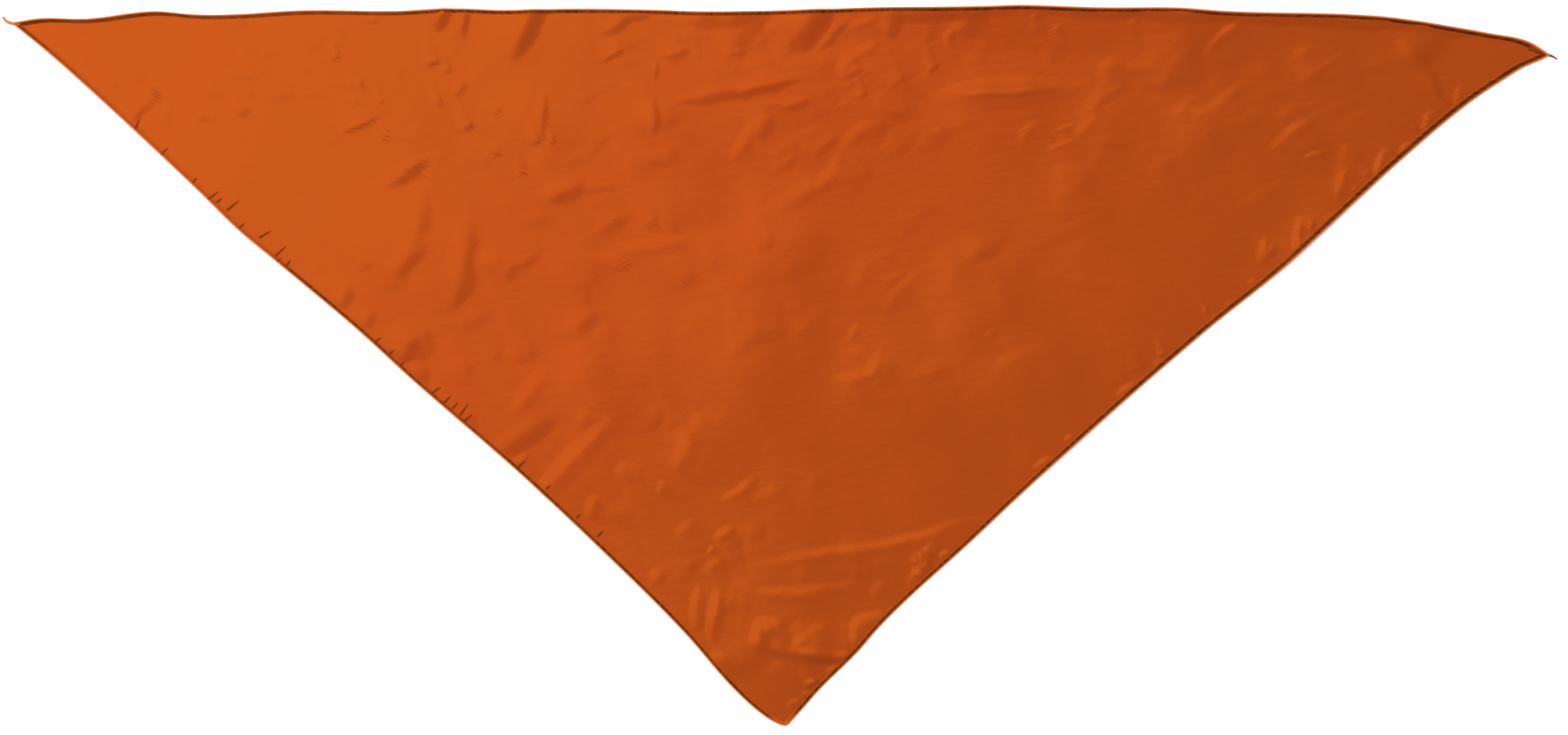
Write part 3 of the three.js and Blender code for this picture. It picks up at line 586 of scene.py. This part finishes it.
def satin_material():
    """Dyed satin: a dull gloss, tinted as light from within the cloth is, over an orange base that is
    cloudy in tone. One broad band is painted a little redder, which is painted light: the hue of the
    mid-tones where the soft box's gloss fades out. The weave's ribs run along the legs, and small crinkles
    are bump."""
    material = bpy.data.materials.new("orange_satin")
    material.use_nodes = True
    tree = material.node_tree
    shader = tree.nodes["Principled BSDF"]
    shader.inputs["IOR"].default_value = 1.5
    shader.inputs["Metallic"].default_value = 0.13
    shader.inputs["Specular IOR Level"].default_value = 0.131
    shader.inputs["Specular Tint"].default_value = SATIN_GLOSS
    shader.inputs["Sheen Weight"].default_value = 0.06
    shader.inputs["Sheen Roughness"].default_value = 0.4
    shader.inputs["Sheen Tint"].default_value = SATIN_SHEEN
    place_on_cloth = tree.nodes.new("ShaderNodeTexCoord")

    cloud = add_node(tree, "ShaderNodeTexNoise", Scale=11, Detail=4, Roughness=0.55)
    link(tree, place_on_cloth, "Object", cloud, "Vector")
    tone = add_node(tree, "ShaderNodeMix")
    tone.data_type = "RGBA"
    tone.inputs[6].default_value = SATIN_DYE
    tone.inputs[7].default_value = SATIN_DYE_DEEP
    link(tree, cloud, "Fac", tone, 0)
    # Painted light: a broad band where the soft box's gloss fades out is tinted redder than the dye.
    across_band = tree.nodes.new("ShaderNodeVectorMath")
    across_band.operation = "DOT_PRODUCT"
    across_band.inputs[1].default_value = PAINTED_MIDTONE_BAND_ACROSS
    link(tree, place_on_cloth, "Object", across_band, 0)
    from_band = tree.nodes.new("ShaderNodeMath")
    from_band.operation = "SUBTRACT"
    from_band.inputs[1].default_value = PAINTED_MIDTONE_BAND_MIDDLE
    link(tree, across_band, "Value", from_band, 0)
    distance = tree.nodes.new("ShaderNodeMath")
    distance.operation = "ABSOLUTE"
    link(tree, from_band, 0, distance, 0)
    painted_midtone_share = tree.nodes.new("ShaderNodeMapRange")
    painted_midtone_share.interpolation_type = "SMOOTHSTEP"
    painted_midtone_share.inputs["From Max"].default_value = PAINTED_MIDTONE_BAND_REACH
    painted_midtone_share.inputs["To Min"].default_value = 1
    painted_midtone_share.inputs["To Max"].default_value = 0
    link(tree, distance, 0, painted_midtone_share, "Value")
    painted_midtone_tint = tree.nodes.new("ShaderNodeMix")
    painted_midtone_tint.data_type = "RGBA"
    painted_midtone_tint.blend_type = "MULTIPLY"
    link(tree, painted_midtone_share, "Result", painted_midtone_tint, 0)
    link(tree, tone, 2, painted_midtone_tint, 6)
    painted_midtone_tint.inputs[7].default_value = PAINTED_MIDTONE_BAND_TINT
    link(tree, painted_midtone_tint, 2, shader, "Base Color")

    grain = tree.nodes.new("ShaderNodeMapping")
    grain.inputs["Rotation"].default_value = (0, 0, WEAVE_TURN)
    link(tree, place_on_cloth, "Object", grain, "Vector")
    rib = add_node(tree, "ShaderNodeTexWave", Scale=WEAVE_SCALE, Distortion=0.6, Detail=1)
    rib.bands_direction = "X"
    link(tree, grain, "Vector", rib, "Vector")
    weft = add_node(tree, "ShaderNodeTexWave", Scale=WEAVE_SCALE, Distortion=0.6, Detail=1)
    weft.bands_direction = "Y"
    link(tree, grain, "Vector", weft, "Vector")
    crossing = tree.nodes.new("ShaderNodeMath")
    crossing.operation = "ADD"
    link(tree, rib, "Fac", crossing, 0)
    link(tree, weft, "Fac", crossing, 1)
    weave_bump = add_node(tree, "ShaderNodeBump", Strength=0.12, Distance=0.00008)
    link(tree, crossing, 0, weave_bump, "Height")

    lie = tree.nodes.new("ShaderNodeMapping")
    lie.inputs["Rotation"].default_value = (0, 0, CRINKLE_TURN)
    lie.inputs["Scale"].default_value = (0.6, 1.2, 1)
    link(tree, place_on_cloth, "Object", lie, "Vector")
    crinkle = add_node(tree, "ShaderNodeTexNoise", Scale=170, Detail=4, Roughness=0.65)
    link(tree, lie, "Vector", crinkle, "Vector")
    crinkle_bump = add_node(tree, "ShaderNodeBump", Strength=0.8, Distance=0.0003)
    link(tree, crinkle, "Fac", crinkle_bump, "Height")
    link(tree, weave_bump, "Normal", crinkle_bump, "Normal")
    link(tree, crinkle_bump, "Normal", shader, "Normal")

    gloss = add_node(tree, "ShaderNodeTexNoise", Scale=35, Detail=2)
    link(tree, place_on_cloth, "Object", gloss, "Vector")
    dullness = tree.nodes.new("ShaderNodeMapRange")
    dullness.inputs["To Min"].default_value = 0.28
    dullness.inputs["To Max"].default_value = 0.36
    link(tree, gloss, "Fac", dullness, "Value")
    link(tree, dullness, "Result", shader, "Roughness")
    return material


cloth_points, cloth_triangles, cloth_chart, face_count = cloth_panel_mesh()
cloth = make_mesh("cloth", cloth_points, cloth_triangles)
set_uv(cloth, "round_and_in", cloth_chart)
normals = np.zeros(3 * len(cloth_points), np.float32)
cloth.data.vertices.foreach_get("normal", normals)
normals = normals.reshape(-1, 3)
inside = np.flatnonzero(cloth_chart[:face_count, 1] > SHARP_FROM)
normals[inside] = face_normals(cloth_points[inside, :2], cloth_chart[inside, 1])
cloth.data.normals_split_custom_set_from_vertices(normals)
cloth.data.materials.append(satin_material())
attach(cloth, "root")
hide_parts("cloth_panel")

# The hems
# A narrow overlocked hem binds each edge: orange thread, about 16 turns in 25 mm, over the rolled cloth. A
# brown line runs along its inner side, which is the seam and also painted shade of the groove where the
# rolled hem meets the cloth. The long side's thread runs on past both corners as a short tail, and the
# left leg's seam has slack loops that lie on the cloth, their brown also painted shade of the puckers
# there.

HEM_HEIGHT = 0.001
THREAD_PITCH = 0.0016
THREAD_SWELL = 0.07  # of a turn of thread, as a share of the hem's height
THREAD_LEAN = 0.9  # turns by which the thread runs on from one edge of the section to the other
WOBBLE = 0.04  # of the hem's height, as a share of it
WOBBLE_PITCH = 0.012
WOBBLE_SEED = 20  # the left leg's; each side after it has the next
STATION_GAP = 0.00036

# The hem's section. Columns: depth in from its outer edge, as a share of HEM_WIDTH, and height above the
# middle of the cloth, as a share of HEM_HEIGHT. The last four rows are the slot that holds the cloth.
HEM_SECTION = [
    (0.84, -0.3), (0.7, -0.42), (0.5, -0.48), (0.26, -0.5), (0.1, -0.44), (0.01, -0.22),
    (0.0, 0.05), (0.03, 0.4), (0.11, 0.68), (0.2, 0.78), (0.3, 0.72), (0.38, 0.6), (0.46, 0.54),
    (0.55, 0.53), (0.65, 0.45), (0.75, 0.34), (0.84, 0.25), (0.83, 0.2), (0.37, 0.19), (0.37, -0.19),
    (0.83, -0.2),
]
OUTSIDE_ROWS = 17

# The brown line on each hem, which is the seam's thread and also painted shade of the groove where the
# rolled hem meets the cloth, in three tables along the side: where the line starts in the hem's width,
# where it ends, and how strongly it shows. Columns: along, as a share of the side's length, and the start,
# end or strength.
LEFT_LEG_LINE = ([(0, 0.27)], [(0, 0.66)], [
    (0, 1), (0.02, 0.9), (0.05, 0.65), (0.1, 0.5), (0.13, 0.42), (0.2, 0.42), (0.26, 0.45), (0.33, 0.5),
    (0.36, 1), (0.42, 1), (0.48, 0.85), (0.6, 0.8), (0.63, 1), (0.68, 1), (0.72, 0.85),
    (0.76, 1), (0.85, 1), (0.9, 0.9), (0.94, 1), (0.98, 1), (0.99, 0.2), (1, 0),
])
RIGHT_LEG_LINE = ([(0, 0.23)], [(0, 0.7)], [
    (0, 0), (0.006, 0.3), (0.02, 1), (0.3, 0.95), (0.5, 1), (0.7, 0.95), (0.8, 1), (1, 1),
])
# Near the right corner the long side's line reaches the hem's inner edge, as wider painted shade of the
# groove there.
LONG_SIDE_LINE = ([(0, 0.36), (0.36, 0.34), (0.42, 0.26)], [(0, 1.1), (0.36, 1.05), (0.42, 0.82)], [
    (0, 1), (0.1, 1), (0.14, 0.9), (0.2, 0.9), (0.22, 1), (0.3, 0.95), (0.34, 1), (0.37, 0.9),
    (0.44, 0.9), (0.46, 1), (0.49, 0.9), (0.62, 0.85), (0.64, 0.95), (0.66, 0.85), (0.69, 0.95),
    (0.78, 0.8), (0.88, 0.85), (0.9, 1), (0.93, 0.9), (1, 1),
])

LINE_FADE_IN = 0.16  # width over which the line fades in at its start, as a share of the hem's
LINE_FADE_OUT = 0.24  # and out at its end
PALE_TO = 0.34  # the hem's outer edge is paler, up to this share of its width
PALE_FADE = 0.3

# The thread tails of the long side's hem: chart points across and down, and the radius at both ends
RIGHT_TAIL = ([(1950, 60), (1962, 64), (1973, 68.5), (1980, 71), (1986, 74.5)], 0.0014, 0.0004)
LEFT_TAIL = ([(26, 30), (16, 29), (9, 26.5), (4, 21)], 0.0011, 0.0007)

# Loops of the seam's brown thread that lie on the cloth beside the left leg's hem, their dark brown also
# painted shade of the small puckers there: chart points from the hem inwards
LEFT_LEG_LOOPS_AND_PUCKER_SHADE = [
    [(206, 196), (214, 188)], [(246, 232), (251, 226)], [(266, 253), (278, 244)], [(277, 257), (283, 252)],
    [(290, 267), (304, 256)], [(305, 290), (312, 284)], [(331, 302), (345, 294)], [(352, 325), (364, 314)],
    [(354, 332), (359, 329)], [(366, 337), (371, 331)], [(480, 434), (486, 430)], [(495, 452), (503, 446)],
    [(511, 465), (516, 460)], [(551, 500), (562, 493)], [(566, 513), (575, 504)], [(577, 520), (584, 513)],
    [(587, 528), (597, 515)], [(593, 535), (602, 528)], [(660, 595), (670, 587)], [(697, 622), (702, 618)],
    [(735, 659), (740, 655)], [(762, 683), (769, 676)], [(173, 163), (178, 152)],
]
LOOP_AND_PUCKER_SHADE_RADII = (0.0007, 0.0003)  # at the hem and at the inner end
TAIL_FLATNESS = 0.6  # a tail's height as a share of its width
TAIL_SIDES = 8
TAIL_CLEAR = 1.02  # its middle's height above what it lies on, as a share of half its own height
TAIL_RUN = 0.007  # of hem from which a tail's map takes its uneven tone
TAIL_DEPTH = 0.1
TAIL_BROWN = 0.75  # how brown the right tail and the loops are; in the loops the brown is also painted shade of the puckers
LEFT_TAIL_BROWN = 0.25  # the left one is mostly of the hem's pale outer thread
TAIL_TIP = 0.4  # length of the cone at its end, as a share of the last step of its path


def hem_mesh(side, seed):
    """The section carried along a side of the cloth. Outside the slot it swells with the turns of thread,
    a sine along the hem that leans with the way round the section, and a little with a slow wobble."""
    start, end, _ = SIDES[side]
    length = np.hypot(*(corners[end] - corners[start]))
    count = int(length / STATION_GAP)
    along = np.linspace(0, 1, count)
    section = np.array(HEM_SECTION)
    rows = len(section)
    rng = np.random.default_rng(seed)
    wobble_at = np.linspace(0, 1, int(length / WOBBLE_PITCH))
    wobble = WOBBLE * np.interp(along, wobble_at, rng.normal(0, 1, len(wobble_at)))
    outside = np.arange(rows) < OUTSIDE_ROWS
    turns = along[:, None] * length / THREAD_PITCH + THREAD_LEAN * np.arange(rows) / OUTSIDE_ROWS
    swell = 1 + outside * (THREAD_SWELL * np.sin(2 * math.pi * turns) + wobble[:, None])
    spots = place(on_side(side, along, section[:, 0] * HEM_WIDTH)).transpose(1, 0, 2)
    at_edge, at_ring = (cloth_lift(place(on_side(side, along, depth))[0], 0) for depth in (0, HEM_WIDTH))
    middle = at_edge[:, None] + (at_ring - at_edge)[:, None] * section[:, 0]
    z = RIM_LIFT + CLOTH_THICKNESS / 2 + middle + section[:, 1] * HEM_HEIGHT * swell
    points = np.concatenate([spots, z[..., None]], axis=2).reshape(-1, 3)
    k, m = np.meshgrid(np.arange(count - 1), np.arange(rows), indexing="ij")
    a, b = k * rows + m, k * rows + (m + 1) % rows
    quads = np.stack([a, b, b + rows, a + rows], axis=-1).reshape(-1, 4)
    triangles = np.concatenate([quads[:, [0, 1, 2]], quads[:, [0, 2, 3]]])
    chart = np.stack(np.broadcast_arrays(along[:, None] * length, section[:, 0]), axis=-1)
    return points, triangles, chart.reshape(-1, 2)


def tail_mesh(points, start_radius, end_radius, on_cloth=False):
    """A thin flattened tube through the given points, on the table or on the cloth, narrowing evenly to
    its end, which a cone closes. A fan of triangles closes its start."""
    path = rounded_path(on_chart(points))
    along = np.linspace(0, 1, len(path))
    radius = start_radius + (end_radius - start_radius) * along
    run = np.gradient(path, axis=0)
    side = np.column_stack([-run[:, 1], run[:, 0]]) / np.hypot(*run.T)[:, None]
    turn = np.linspace(0, 2 * math.pi, TAIL_SIDES, endpoint=False)
    flat = path[:, None] + (radius[:, None] * np.cos(turn))[..., None] * side[:, None]
    z = TAIL_FLATNESS * radius[:, None] * (TAIL_CLEAR + np.sin(turn))
    if on_cloth:
        z += (RIM_LIFT + CLOTH_THICKNESS + cloth_lift(path, 1))[:, None] - 0.5 * z.min()
    tube = np.concatenate([flat, z[..., None]], axis=2).reshape(-1, 3)
    tip = np.append(path[-1] + run[-1] * TAIL_TIP, z[-1].mean())
    first = np.arange(TAIL_SIDES)
    k, m = np.meshgrid(np.arange(len(path) - 1), first, indexing="ij")
    a, b = k * TAIL_SIDES + m, k * TAIL_SIDES + (m + 1) % TAIL_SIDES
    quads = np.stack([a, b, b + TAIL_SIDES, a + TAIL_SIDES], axis=-1).reshape(-1, 4)
    last = (len(path) - 1) * TAIL_SIDES + first
    cone = np.stack([last, np.roll(last, -1), np.full_like(last, len(tube))], axis=1)
    back = np.stack([np.roll(first, -1)[1:-1], first[1:-1], np.zeros_like(first)[1:-1]], axis=1)
    triangles = np.concatenate([quads[:, [0, 1, 2]], quads[:, [0, 2, 3]], cone, back])
    points = np.concatenate([tube, tip[None]])
    chart = np.column_stack([np.linspace(0, TAIL_RUN, len(points)), np.full(len(points), TAIL_DEPTH)])
    return points, triangles, chart


# The brown is thread colour and painted shade at once.
THREAD_ORANGE = (0.42, 0.062, 0.008, 1)
THREAD_PALE = (0.6, 0.19, 0.075, 1)
BROWN_OF_THREAD_AND_SHADE = (0.035, 0.008, 0.0008, 1)
THREAD_GLOSS = (1.0, 0.3, 0.03, 1)


def thread_material():
    """Overlock thread: orange, paler where the hem's attribute pale_rim says so and brown where
    brown_thread_and_painted_shade does, the brown a little uneven from turn to turn. The brown is the
    seam's thread and also painted shade, of the groove where the rolled hem meets the cloth and of the
    puckers under the left leg's loops. Along and depth come from the hem's own UV map, in metres along and
    as a share of its width."""
    material = bpy.data.materials.new("overlock_thread")
    material.use_nodes = True
    tree = material.node_tree
    shader = tree.nodes["Principled BSDF"]
    shader.inputs["Roughness"].default_value = 0.55
    shader.inputs["Specular IOR Level"].default_value = 0.35
    shader.inputs["Specular Tint"].default_value = THREAD_GLOSS
    on_hem = tree.nodes.new("ShaderNodeUVMap")
    on_hem.uv_map = "along_and_depth"
    stretch = tree.nodes.new("ShaderNodeMapping")
    stretch.inputs["Scale"].default_value = (1, 0.0008, 1)
    link(tree, on_hem, "UV", stretch, "Vector")
    turns = add_node(tree, "ShaderNodeTexNoise", Scale=420, Detail=2)
    link(tree, stretch, "Vector", turns, "Vector")
    uneven = tree.nodes.new("ShaderNodeMapRange")
    uneven.inputs["From Min"].default_value = 0.3
    uneven.inputs["From Max"].default_value = 0.7
    uneven.inputs["To Min"].default_value = 0.72
    uneven.inputs["To Max"].default_value = 1.15
    link(tree, turns, "Fac", uneven, "Value")
    # The brown is partly the seam's thread and partly painted shade, of the groove beside the rolled hem
    # and of the puckers under the left leg's loops.
    line = tree.nodes.new("ShaderNodeAttribute")
    line.attribute_name = "brown_thread_and_painted_shade"
    shown = tree.nodes.new("ShaderNodeMath")
    shown.operation = "MULTIPLY"
    shown.use_clamp = True
    link(tree, line, "Fac", shown, 0)
    link(tree, uneven, "Result", shown, 1)
    rim = tree.nodes.new("ShaderNodeAttribute")
    rim.attribute_name = "pale_rim"
    ground = tree.nodes.new("ShaderNodeMix")
    ground.data_type = "RGBA"
    ground.inputs[6].default_value = THREAD_ORANGE
    ground.inputs[7].default_value = THREAD_PALE
    link(tree, rim, "Fac", ground, 0)
    tone = tree.nodes.new("ShaderNodeMix")
    tone.data_type = "RGBA"
    tone.inputs[7].default_value = BROWN_OF_THREAD_AND_SHADE
    link(tree, shown, 0, tone, 0)
    link(tree, ground, 2, tone, 6)
    link(tree, tone, 2, shader, "Base Color")
    return material


thread = thread_material()
# The loops' dark brown is also painted shade of the small puckers beside the left leg's hem.
loops = [(loop, *LOOP_AND_PUCKER_SHADE_RADII, True) for loop in LEFT_LEG_LOOPS_AND_PUCKER_SHADE]
for side, (name, line, tails) in enumerate([
    ("hem_left_leg", LEFT_LEG_LINE, loops),
    ("hem_right_leg", RIGHT_LEG_LINE, []),
    ("hem_long_side", LONG_SIDE_LINE, [RIGHT_TAIL, LEFT_TAIL]),
]):
    points, triangles, chart = hem_mesh(side, WOBBLE_SEED + side)
    # The brown line: the seam's thread, with painted shade of the groove where the rolled hem meets the
    # cloth.
    starts, ends, strengths = line
    side_share = chart[:, 0] / chart[:, 0].max()
    line_start = np.interp(side_share, *np.array(starts, float).T)
    line_end = np.interp(side_share, *np.array(ends, float).T)
    brown = np.interp(side_share, *np.array(strengths, float).T)
    brown *= smooth((chart[:, 1] - line_start) / LINE_FADE_IN + 0.5)
    brown *= smooth((line_end - chart[:, 1]) / LINE_FADE_OUT + 0.5)
    pale = smooth((PALE_TO - chart[:, 1]) / PALE_FADE)
    for tail in tails:
        tail_points, tail_triangles, tail_chart = tail_mesh(*tail)
        triangles = np.concatenate([triangles, tail_triangles + len(points)])
        points = np.concatenate([points, tail_points])
        chart = np.concatenate([chart, tail_chart])
        is_left_tail = tail is LEFT_TAIL
        tail_brown = LEFT_TAIL_BROWN if is_left_tail else TAIL_BROWN
        brown = np.append(brown, np.full(len(tail_points), tail_brown))
        pale = np.append(pale, np.full(len(tail_points), float(is_left_tail)))
    hem = make_mesh("overlocked_" + name, points, triangles)
    hem.data.attributes.new("brown_thread_and_painted_shade", "FLOAT", "POINT").data.foreach_set("value", brown)
    hem.data.attributes.new("pale_rim", "FLOAT", "POINT").data.foreach_set("value", pale)
    set_uv(hem, "along_and_depth", chart)
    hem.data.materials.append(thread)
    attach(hem, "root")
    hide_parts(name)

# The studio
# A plain white table that glows a little, so that it stays white beside the hems, even light from all
# round, and one soft box at the upper left, which the satin's gloss gives back over the left third of
# the cloth. The camera looks straight down.

VIEW_MIDDLE = (0.0019, -0.0012)
VIEW_WIDTH = 0.9306
CAMERA_HEIGHT = 1.7
SENSOR = 36

floor_points = [(-6, -6, 0), (6, -6, 0), (6, 6, 0), (-6, 6, 0)]
floor = make_mesh("table", floor_points, [(0, 1, 2), (0, 2, 3)])
table_white = bpy.data.materials.new("table_white")
table_white.use_nodes = True
table_shader = table_white.node_tree.nodes["Principled BSDF"]
table_shader.inputs["Base Color"].default_value = (0.9, 0.9, 0.9, 1)
table_shader.inputs["Roughness"].default_value = 0.9
table_shader.inputs["Emission Color"].default_value = (1, 1, 1, 1)
table_shader.inputs["Emission Strength"].default_value = 0.2
floor.data.materials.append(table_white)

world = bpy.data.worlds.new("studio")
world.use_nodes = True
even_light = world.node_tree.nodes["Background"]
even_light.inputs["Color"].default_value = (1, 1, 1, 1)
even_light.inputs["Strength"].default_value = 0.6
bpy.context.scene.world = world

soft_box = bpy.data.lights.new("soft_box", "AREA")
soft_box.shape = "RECTANGLE"
soft_box.size = 2.6
soft_box.size_y = 3.8
soft_box.energy = 101
soft_box_object = bpy.data.objects.new("soft_box", soft_box)
soft_box_object.location = (-1.1, 0.885, 2.2)
soft_box_object.rotation_euler = (0, 0, math.radians(140))
bpy.context.scene.collection.objects.link(soft_box_object)

lens = bpy.data.cameras.new("camera")
lens.sensor_width = SENSOR
lens.lens = SENSOR * CAMERA_HEIGHT / VIEW_WIDTH
camera = bpy.data.objects.new("camera", lens)
camera.location = (*VIEW_MIDDLE, CAMERA_HEIGHT)
bpy.context.scene.collection.objects.link(camera)
bpy.context.scene.camera = camera

bpy.context.scene.view_settings.view_transform = "Standard"
